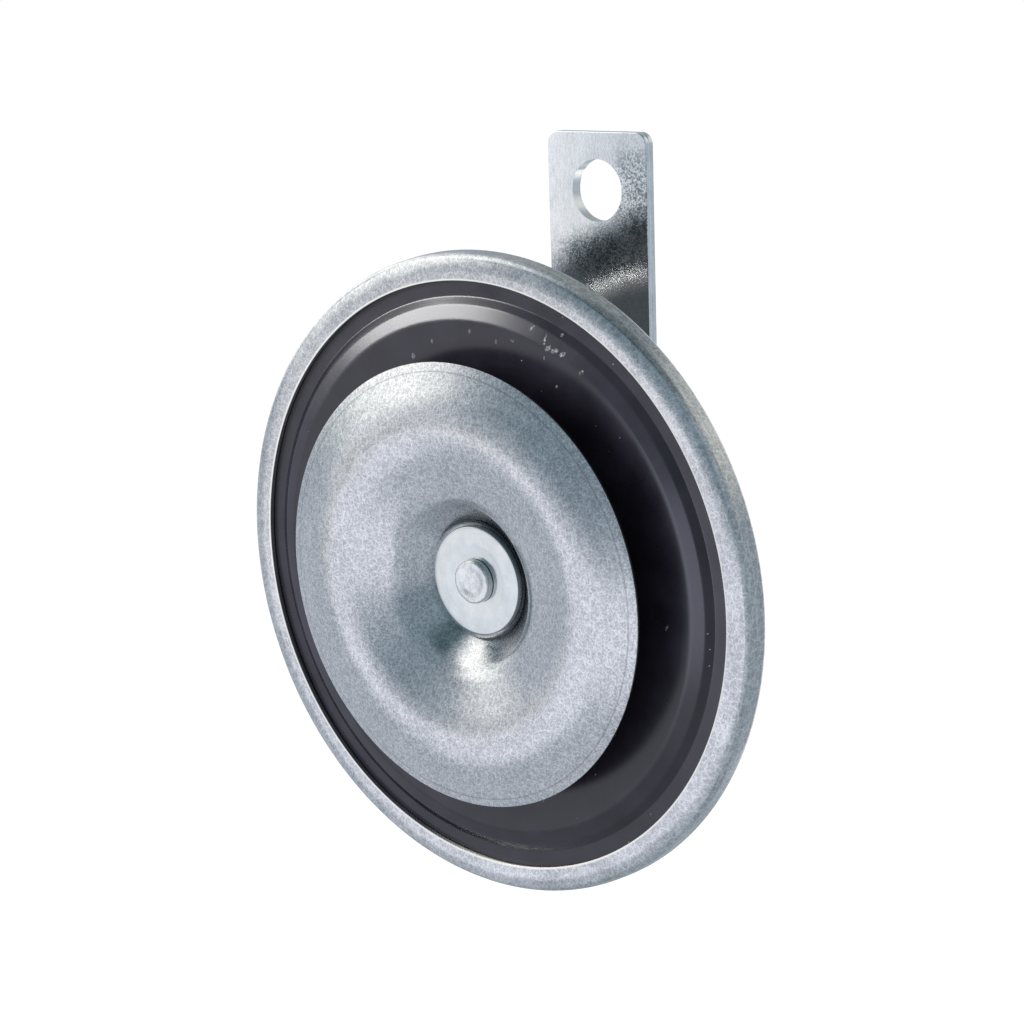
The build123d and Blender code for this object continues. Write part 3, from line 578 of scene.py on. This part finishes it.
def paintFinish(name, settings):
    # Stove enamel with a faint orange peel, fine dust, and marks at their own places.
    bench = NodeBench(name)
    cloud = bench.noise(settings["cloud"], detail=4.0)
    peel = bench.noise(settings["peel"], detail=2.0)
    low, high = settings["spread"]
    colour = bench.ramp(cloud, (low, settings["deep"]), (high, settings["worn"]))
    grains = bench.cells(settings["grains"], output="Distance")
    grains = bench.math("LESS_THAN", grains, settings["grainSize"])
    patches = bench.noise(settings["patches"], detail=1.0)
    patches = bench.math("GREATER_THAN", patches, settings["patchFrom"])
    soiled = bench.math("MULTIPLY", grains, patches)
    flakes = bench.noise(settings["flakes"], detail=3.0)
    flakes = bench.between(flakes, 0, settings["flakeStrength"], *settings["flakeBreak"])
    torn = bench.wobble(settings["tears"], settings["tearReach"])
    for angle, radius, length, width, turned in settings["marks"]:
        angle = math.radians(angle)
        centre = horn + Vector((radius * math.cos(angle), 0, radius * math.sin(angle))) * mm
        lean = (0, math.radians(turned), 0)
        spot = bench.mapped((1 / (width * mm), 0, 1 / (length * mm)), centre, lean, torn)
        mark = bench.between(bench.distance(spot), 1, 0, *settings["markFade"])
        soiled = bench.math("MAXIMUM", soiled, bench.math("MULTIPLY", mark, flakes))
    colour = bench.mix(soiled, colour, settings["dust"])
    dusty = bench.math("MULTIPLY", soiled, settings["dustRough"])
    roughness = bench.math("MAXIMUM", bench.between(cloud, *settings["rough"]), dusty)
    normal = bench.bump(peel, settings["peelRelief"], settings["peelBump"])
    normal = bench.bump(soiled, settings["dustRelief"], settings["dustBump"], normal)
    return bench.finish(
        colour, roughness, normal, metallic=0.0, specular=settings["gloss"], coat=settings["coat"],
        coatRoughness=settings["coatRough"])


plain = {"spread": (0.3, 0.7), "relief": 0.01 * mm, "bump": 0.4}
# For each slot: the material's name, its dark and pale colour, roughness, metallic, and how fine its cloud is
plainRows = {
    "gasket_rubber": ("gasketRubber", (0.018, 0.018, 0.018), (0.03, 0.03, 0.03), (0.6, 0.8), 0.0, 700),
    "soft_iron": ("softIron", (0.42, 0.43, 0.44), (0.56, 0.57, 0.58), (0.3, 0.45), 1.0, 700),
    "bronze": ("springBronze", (0.66, 0.43, 0.22), (0.78, 0.55, 0.31), (0.22, 0.34), 1.0, 700),
    "tungsten": ("contactTungsten", (0.36, 0.37, 0.39), (0.48, 0.49, 0.50), (0.3, 0.4), 1.0, 700),
    "fibre": ("redFibre", (0.20, 0.08, 0.04), (0.30, 0.13, 0.07), (0.6, 0.75), 0.0, 700),
    "bobbin_nylon": ("bobbinNylon", (0.62, 0.60, 0.53), (0.72, 0.70, 0.63), (0.4, 0.5), 0.0, 700),
    "copper_wire": ("copperWire", (0.56, 0.22, 0.10), (0.72, 0.33, 0.17), (0.2, 0.34), 1.0, 2500),
    "black_moulding": (
        "blackMoulding", (0.014, 0.014, 0.015), (0.026, 0.026, 0.028), (0.38, 0.5), 0.0, 1800),
    "tinned_brass": ("tinnedBrass", (0.66, 0.65, 0.60), (0.80, 0.79, 0.75), (0.2, 0.32), 1.0, 700),
}


def plainFinish(name, dark, pale, rough, metallic, fineness):
    bench = NodeBench(name)
    cloud = bench.noise(fineness, detail=3.0)
    low, high = plain["spread"]
    colour = bench.ramp(cloud, (low, dark), (high, pale))
    normal = bench.bump(cloud, plain["relief"], plain["bump"])
    return bench.finish(colour, bench.between(cloud, *rough), normal, metallic=metallic)


ringZinc = galvanisedFinish("ringZinc", ringPlating)
discZinc = galvanisedFinish("discZinc", discPlating)
strapZinc = strapFinish(strapPlating)
fixingZinc = zincFinish("fixingZinc", fixingPlating)
washerBright = washerFinish(washerZinc)
armatureSteel = zincFinish("armatureSteel", peenedPlating)
diaphragmPaint = paintFinish("diaphragmPaint", blackPaint)
housingPaint = paintFinish("housingPaint", glossEnamel)
slotFinishes = {slot: plainFinish(*row) for slot, row in plainRows.items()}
slotFinishes.update(
    galvanised=ringZinc, bright_zinc=fixingZinc, bracket_zinc=strapZinc, black_paint=housingPaint)
for part in frame["record"]["subparts"]:
    node = frame["nodes"][part["node"]]
    node.data.materials.clear()
    node.data.materials.append(slotFinishes[part["material_slot"]])
print("finishes made")

turnedSheet = latheTree()

ringSettings = {
    "sheet": 0.8, "lip": 42.0, "front": 45.7, "rear": 46.03, "roll": 43.2, "crown": 0.16,
    "bends": (5.0, 1.3, 1.0), "cutEdge": 0.12, "longest": 0.5, "segments": 512,
}


def sheetTurn(name, points, settings, finish, steps=10):
    # A drawn sheet: its front face as corners and bends, given a thickness and carried round the axis.
    path = subdivide(roundedPath(points, settings["bends"], steps), settings["longest"])
    outline = sheetOutline(path, settings["sheet"], settings["cutEdge"])
    return turn(name, [p * mm for p in outline], True, finish, settings["segments"])


def crimpRing(settings):
    middle, depth = (settings["lip"] + settings["front"]) / 2, ringDepth / mm
    points = [
        (settings["lip"], 0), (middle, -settings["crown"]), (settings["front"], settings["crown"]),
        (settings["rear"], depth), (settings["roll"], depth),
    ]
    return sheetTurn("crimpRing", points, settings, ringZinc)


settle(crimpRing(ringSettings), "galvanised", "crimp_ring")

diaphragmSettings = {
    "sheet": 0.5, "bore": 2.98, "flat": 9.0, "crest": 36.6, "step": 38.7, "crease": 39.8, "rim": 44.6,
    "rimFace": 0.85, "dish": 1.4, "stepRise": 0.65, "crestRise": 1.1, "bends": (10.0, 3.0, 1.2, 0.4),
    "cutEdge": 0.08, "longest": 0.9, "segments": 420,
}


def hornDiaphragm(settings):
    rimFace = settings["rimFace"]
    dished, crest = rimFace + settings["dish"], rimFace - settings["crestRise"]
    step = rimFace - settings["stepRise"]
    points = [
        (settings["bore"], dished), (settings["flat"], dished), (settings["crest"], crest),
        (settings["step"], step), (settings["crease"], rimFace), (settings["rim"], rimFace),
    ]
    return sheetTurn("hornDiaphragm", points, settings, diaphragmPaint)


settle(hornDiaphragm(diaphragmSettings), "black_paint", "diaphragm")

discSettings = {
    "sheet": 0.8, "bore": 2.98, "seat": 8.3, "wall": 12.5, "crown": 23.0, "edge": 31.6,
    "seatFace": 0.25, "wallRise": 4.25, "crownRise": 7.75, "edgeRise": 5.11, "bends": (1.0, 6.0, 16.0),
    "cutEdge": 0.10, "longest": 0.7, "segments": 420, "bendSteps": 14,
}


def toneDisc(settings):
    seat = settings["seatFace"]
    points = [
        (settings["bore"], seat), (settings["seat"], seat), (settings["wall"], seat - settings["wallRise"]),
        (settings["crown"], seat - settings["crownRise"]), (settings["edge"], seat - settings["edgeRise"]),
    ]
    return sheetTurn("toneDisc", points, settings, discZinc, settings["bendSteps"])


settle(toneDisc(discSettings), "galvanised", "tone_disc")

washerSettings = {
    "bore": 2.98, "radius": 7.8, "face": -0.65, "thickness": 0.9, "dimple": 5.4, "dip": 0.10,
    "bends": (0.02, 6.0, 0.2, 0.2), "bendSteps": 6, "longest": 0.5, "segments": 240,
}


def frontWasher(settings):
    bore, radius, face = (settings[key] for key in ("bore", "radius", "face"))
    back = face + settings["thickness"]
    points = [
        (bore, back), (bore, face + settings["dip"]), (settings["dimple"], face), (radius, face),
        (radius, back), (bore, back),
    ]
    path = roundedPath(points, settings["bends"], settings["bendSteps"])
    outline = [p * mm for p in subdivide(path[:-1], settings["longest"])]
    return turn("frontWasher", outline, True, washerBright, settings["segments"])


settle(frontWasher(washerSettings), "bright_zinc", "front_washer")

armatureSettings = {
    "head": 3.15, "face": -1.74, "edge": 0.34, "hollow": 0.12, "hollowFlat": 0.5, "hollowRim": 0.72,
    "washerFace": -0.65, "stem": 2.9, "shoulder": 3.75, "body": 6.8, "collarFace": 8.05, "collarBack": 9.25,
    "collar": 9.2, "back": 16.1, "corner": 0.2, "hollowBend": 0.8, "headBend": 0.04, "neckBend": 0.02,
    "inside": 0.1, "bendSteps": 5, "longest": 0.28, "segments": 144,
    # Hammer marks on the head: depth, fineness, how far from the washer they begin and how fast they grow,
    # how much further they sink than they swell, and their share along the axis
    "peening": 0.09, "hammering": 900, "peenFrom": 0.05, "peenGrowth": 2, "peenSink": 0.6, "peenAlong": 0.6,
}


def armaturePiece(settings):
    # Turned in one with its stem; the head is peened over by hand, so that its rim is uneven.
    head, stem, body, collar = (settings[key] for key in ("head", "stem", "body", "collar"))
    face, washerFace, shoulder, back = (settings[key] for key in ("face", "washerFace", "shoulder", "back"))
    collarFace, collarBack = settings["collarFace"], settings["collarBack"]
    corner, inside, hollowBend = settings["corner"], settings["inside"], settings["hollowBend"]
    dished = face + settings["hollow"]
    points = [
        (0, dished), (head * settings["hollowFlat"], dished), (head * settings["hollowRim"], face),
        (head, face), (head, washerFace), (stem, washerFace), (stem, shoulder), (body, shoulder),
        (body, collarFace), (collar, collarFace), (collar, collarBack), (body, collarBack), (body, back),
        (0, back),
    ]
    bends = (
        hollowBend, hollowBend, settings["edge"], settings["headBend"], settings["neckBend"], inside, corner,
        inside, corner, corner, inside, corner)
    path = subdivide(roundedPath(points, bends, settings["bendSteps"]), settings["longest"])
    piece = turn("armaturePiece", [p * mm for p in path], False, armatureSteel, settings["segments"])
    headBack = lipPlane + washerFace * mm
    for vertex in piece.data.vertices:
        depth = (headBack - vertex.co.y) / mm
        if depth > settings["peenFrom"]:
            struck = noise.noise(vertex.co * settings["hammering"]) - settings["peenSink"]
            knock = struck * settings["peening"] * min(1, depth * settings["peenGrowth"])
            out = Vector((vertex.co.x - horn.x, 0, vertex.co.z - horn.z))
            vertex.co += out.normalized() * knock * mm
            vertex.co.y -= knock * settings["peenAlong"] * mm
    return piece


settle(armaturePiece(armatureSettings), "soft_iron", "armature")

studSettings = {
    "shoulder": 27.7, "stud": 4.0, "chamfer": 0.9, "poleCorner": 0.1, "bendSteps": 3, "segments": 112,
    "sharpAngle": 50, "smoothStep": 0.6,
    # The thread: pitch and depth, where it begins and how far it fades in, and how fine its faces are
    "pitch": 1.25, "depth": 0.55, "threadStart": 30.9, "runOut": 0.8, "rise": 0.11, "lead": 0.5,
    # Its groove's flanks, how wide its flat crest is, and the share of the radius that it leaves alone
    "flank": 1.6, "crest": 0.25, "middle": 0.72,
}


def cutThread(piece, radius, start, end, settings):
    # A helical groove is pressed into the turned stud: crests keep their radius, roots go in.
    for vertex in piece.data.vertices:
        across, up = vertex.co.x - horn.x, vertex.co.z - horn.z
        station = (vertex.co.y - lipPlane) / mm
        reach = math.hypot(across, up)
        if start < station < end and reach > radius * settings["middle"] * mm:
            phase = (station / settings["pitch"] - math.atan2(up, across) / (2 * math.pi)) % 1
            groove = settings["flank"] * (1 - abs(2 * phase - 1)) - settings["crest"]
            fade = min(1, (station - start) / settings["runOut"])
            room = max(0, reach / mm - (radius - settings["depth"]))
            inward = min(room, min(1, max(0, groove)) * fade * settings["depth"]) * mm / reach
            vertex.co.x -= across * inward
            vertex.co.z -= up * inward


def coreStud(settings):
    low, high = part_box("core_stud")
    front, back = (low.y - lipPlane) / mm, (high.y - lipPlane) / mm
    core, stud, shoulder = (high.x - low.x) / 2 / mm, settings["stud"], settings["shoulder"]
    chamfer, threadStart = settings["chamfer"], settings["threadStart"]
    points = [
        (0, front), (core, front), (core, shoulder), (stud, shoulder), (stud, back - chamfer),
        (stud - chamfer, back), (0, back),
    ]
    path = roundedPath(points, (settings["poleCorner"],) * 5, settings["bendSteps"])
    change = threadStart - settings["lead"]
    smooth = [p for p in subdivide(path, settings["smoothStep"]) if p.y < change]
    fine = [p for p in subdivide(path, settings["rise"]) if p.y >= change]
    outline = [p * mm for p in smooth + fine]
    piece = turn("coreStud", outline, False, fixingZinc, settings["segments"], settings["sharpAngle"])
    cutThread(piece, stud, threadStart, back, settings)
    return piece


settle(coreStud(studSettings), "soft_iron", "core_stud")
print("turned sheets made")

cameraSettings = {
    "lens": 77.34, "sensor": 36, "place": (0.1980, -0.2525, 0.0310),
    "heading": 40.793, "lift": 13.778, "roll": -2.050,
}


def awayFromHorn(heading, lift):
    # Heading is counted from the horn's front towards its right.
    heading, lift = math.radians(heading), math.radians(lift)
    level = math.cos(lift)
    return Vector((math.sin(heading) * level, -math.cos(heading) * level, math.sin(lift)))


def studioCamera(settings):
    # Roll is about the line of sight.
    heading, roll = math.radians(settings["heading"]), math.radians(settings["roll"])
    backwards = awayFromHorn(settings["heading"], settings["lift"])
    right = Matrix.Rotation(roll, 3, backwards) @ Vector((math.cos(heading), math.sin(heading), 0))
    up = backwards.cross(right)
    data = bpy.data.cameras.new("studioCamera")
    data.lens, data.sensor_width = settings["lens"], settings["sensor"]
    camera = bpy.data.objects.new("studioCamera", data)
    bpy.context.scene.collection.objects.link(camera)
    turned = Matrix((right, up, backwards)).transposed().to_4x4()
    camera.matrix_world = Matrix.Translation(settings["place"]) @ turned
    bpy.context.scene.camera = camera


studioCamera(cameraSettings)

studio = {
    # name: (heading, lift, distance, width, height, radiance, colour); headings as the camera's
    "sideSoftbox": (-100, 22, 1.0, 0.75, 0.75, 0.55, (1, 1, 1)),
    "highSoftbox": (-82, 48, 1.0, 0.5, 0.5, 0.5, (1, 1, 1)),
    "paintSoftbox": (-50, 22, 0.36, 0.15, 0.18, 13.0, (1, 1, 1)),
    "paintSheen": (-14, -12, 0.36, 0.16, 0.14, 2.2, (0.75, 0.78, 1)),
}
paintedOnly = ("paintSoftbox", "paintSheen")


def isPainted(piece):
    return piece.type == "MESH" and any(
        slot.material in (diaphragmPaint, housingPaint) for slot in piece.material_slots)


def studioLamps(settings):
    # Each lamp stands off from the horn's middle and faces it; some are flagged off all but the paint.
    painted = bpy.data.collections.new("paintedPieces")
    for piece in bpy.data.objects:
        if isPainted(piece):
            painted.objects.link(piece)
    for name, (heading, lift, distance, width, height, radiance, colour) in settings.items():
        data = bpy.data.lights.new(name, "AREA")
        data.color = colour
        data.shape, data.size, data.size_y = "RECTANGLE", width, height
        data.energy = radiance * math.pi * width * height
        lamp = bpy.data.objects.new(name, data)
        lamp.visible_camera = False
        if name in paintedOnly:
            lamp.light_linking.receiver_collection = painted
        bpy.context.scene.collection.objects.link(lamp)
        away = awayFromHorn(heading, lift)
        facing = away.to_track_quat("Z", "Y").to_matrix().to_4x4()
        lamp.matrix_world = Matrix.Translation(horn + away * distance) @ facing


studioLamps(studio)

tentSettings = {
    "radius": 0.38, "segments": 64, "rings": 32, "cloth": (0.41, 0.47, 0.53),
    # What each part of the cloth adds to its colour: (headings, lifts, soft edge, all in degrees, colour)
    "patches": {
        "mainUpperLeft": ((-128, -92), (2, 36), 9, (0.66, 0.61, 0.59)),
        "highLeft": ((-92, -48), (32, 62), 10, (0.48, 0.43, 0.42)),
        "upperLeftWash": ((-112, -45), (4, 74), 7, (0.56, 0.55, 0.49)),
        "softboxCore": ((-71, -39), (12, 29), 4, (0.66, 0.62, 0.58)),
        "coreFoot": ((-62, -42), (-4, 12), 4, (0.42, 0.39, 0.37)),
        "dimpleGlow": ((-80, -51), (30, 47), 5, (0.42, 0.40, 0.37)),
        "strapGlow": ((-56, -38.5), (-15, -3), 3, (0.17, 0.14, 0.09)),
        "lowerFront": ((-46, 14), (-32, -9), 4, (0.40, 0.38, 0.41)),
        "farLeft": ((-130, -92), (-22, 4), 9, (0.30, 0.26, 0.20)),
        "topDark": ((-25, 185), (48, 95), 12, (-0.22, -0.24, -0.28)),
        "backDark": ((-185, -142), (20, 95), 12, (-0.06, -0.08, -0.14)),
        "frontDark": ((-28, 50), (-3, 60), 5, (-0.14, -0.12, -0.12)),
        "rightRear": ((112, 165), (16, 46), 10, (0.28, 0.24, 0.16)),
        "frontLow": ((-95, 45), (-62, 0), 14, (0.20, 0.19, 0.21)),
        "highLeftRim": ((-140, -104), (30, 62), 10, (0.17, 0.13, 0.10)),
        "openBackRight": ((158, 200), (-42, 24), 8, (0.62, 0.58, 0.52)),
        "openBackLeft": ((-200, -160), (-24, 24), 7, (0.62, 0.58, 0.52)),
    },
}


def lightTent(settings):
    # A cloth tent that only reflections see: it shapes what the polished steel shows.
    bench = NodeBench("tentCloth")
    bench.nodes.remove(bench.shader)
    split = bench.nodes.new("ShaderNodeSeparateXYZ")
    normal = bench.nodes.new("ShaderNodeVectorMath")
    normal.operation = "NORMALIZE"
    bench.link(bench.place, normal.inputs[0])
    bench.link(normal.outputs[0], split.inputs[0])
    x, y, z = split.outputs
    degrees = 180 / math.pi
    heading = bench.math("MULTIPLY", bench.math("ARCTAN2", x, bench.math("MULTIPLY", y, -1)), degrees)
    lift = bench.math("MULTIPLY", bench.math("ARCSINE", z), degrees)
    colour = settings["cloth"]
    for (left, right), (low, high), soft, gain in settings["patches"].values():
        mask = bench.between(heading, 0, 1, left - soft, left + soft, smooth=True)
        for value, edge, way in ((heading, right, -1), (lift, low, 1), (lift, high, -1)):
            side = bench.between(value, 0, 1, edge - soft * way, edge + soft * way, smooth=True)
            mask = bench.math("MULTIPLY", mask, side)
        colour = bench.addScaled(mask, gain, colour)
    glow = bench.nodes.new("ShaderNodeEmission")
    bench.link(colour, glow.inputs["Color"])
    bench.link(glow.outputs[0], bench.nodes["Material Output"].inputs["Surface"])
    work = bmesh.new()
    bmesh.ops.create_uvsphere(work, u_segments=settings["segments"], v_segments=settings["rings"],
                              radius=settings["radius"])
    mesh = bpy.data.meshes.new("lightTent")
    work.to_mesh(mesh)
    work.free()
    mesh.materials.append(bench.material)
    tent = bpy.data.objects.new("lightTent", mesh)
    tent.location = horn
    tent.visible_camera = tent.visible_diffuse = tent.visible_shadow = False
    bpy.context.scene.collection.objects.link(tent)


lightTent(tentSettings)


def seenAsBackdrop(nodes, link):
    # 1 for camera, glossy and transmission rays, and 0 for the rest.
    path = nodes.new("ShaderNodeLightPath")
    seen = path.outputs["Is Camera Ray"]
    for name in ("Is Glossy Ray", "Is Transmission Ray"):
        either = nodes.new("ShaderNodeMath")
        either.operation = "MAXIMUM"
        link(seen, either.inputs[0])
        link(path.outputs[name], either.inputs[1])
        seen = either.outputs[0]
    return seen


floorSettings = {
    "size": 12, "height": -0.45, "tone": 0.86, "dim": 0.98, "cloud": 6, "spread": (0.3, 0.7), "rough": 0.9,
    "lift": 0.62,
}


def studioFloor(settings):
    # Pale floor: what the camera and the metal see of it is lifted to white, less the horn's shadow.
    half, tone = settings["size"] / 2, settings["tone"]
    low, high = settings["spread"]
    corners = [(-half, -half, 0), (half, -half, 0), (half, half, 0), (-half, half, 0)]
    mesh = bpy.data.meshes.new("studioFloor")
    mesh.from_pydata(corners, [], [(0, 1, 2, 3)])
    floor = bpy.data.objects.new("studioFloor", mesh)
    floor.location = (0, 0, settings["height"])
    bpy.context.scene.collection.objects.link(floor)
    bench = NodeBench("floorPaper")
    cloud = bench.noise(settings["cloud"])
    paper = bench.ramp(cloud, (low, (tone * settings["dim"],) * 3), (high, (tone,) * 3))
    bench.finish(paper, settings["rough"], specular=0.0)
    bench.shader.inputs["Emission Color"].default_value = (1, 1, 1, 1)
    glow = bench.math("MULTIPLY", seenAsBackdrop(bench.nodes, bench.link), settings["lift"])
    bench.link(glow, bench.shader.inputs["Emission Strength"])
    mesh.materials.append(bench.material)


studioFloor(floorSettings)

worldSettings = {"light": 0.5, "backdrop": 1.0, "tint": (1.0, 1.0, 1.0)}


def studioWorld(settings):
    # The backdrop is white to the camera and in reflections; the light it gives is softer.
    world = bpy.data.worlds.new("studioWorld")
    world.use_nodes = True
    nodes, link = world.node_tree.nodes, world.node_tree.links.new
    background = nodes["Background"]
    strength = nodes.new("ShaderNodeMapRange")
    strength.inputs["To Min"].default_value = settings["light"]
    strength.inputs["To Max"].default_value = settings["backdrop"]
    link(seenAsBackdrop(nodes, link), strength.inputs["Value"])
    link(strength.outputs[0], background.inputs["Strength"])
    background.inputs["Color"].default_value = (*settings["tint"], 1)
    bpy.context.scene.world = world


studioWorld(worldSettings)
bpy.context.scene.view_settings.view_transform = "Standard"
print("studio made")
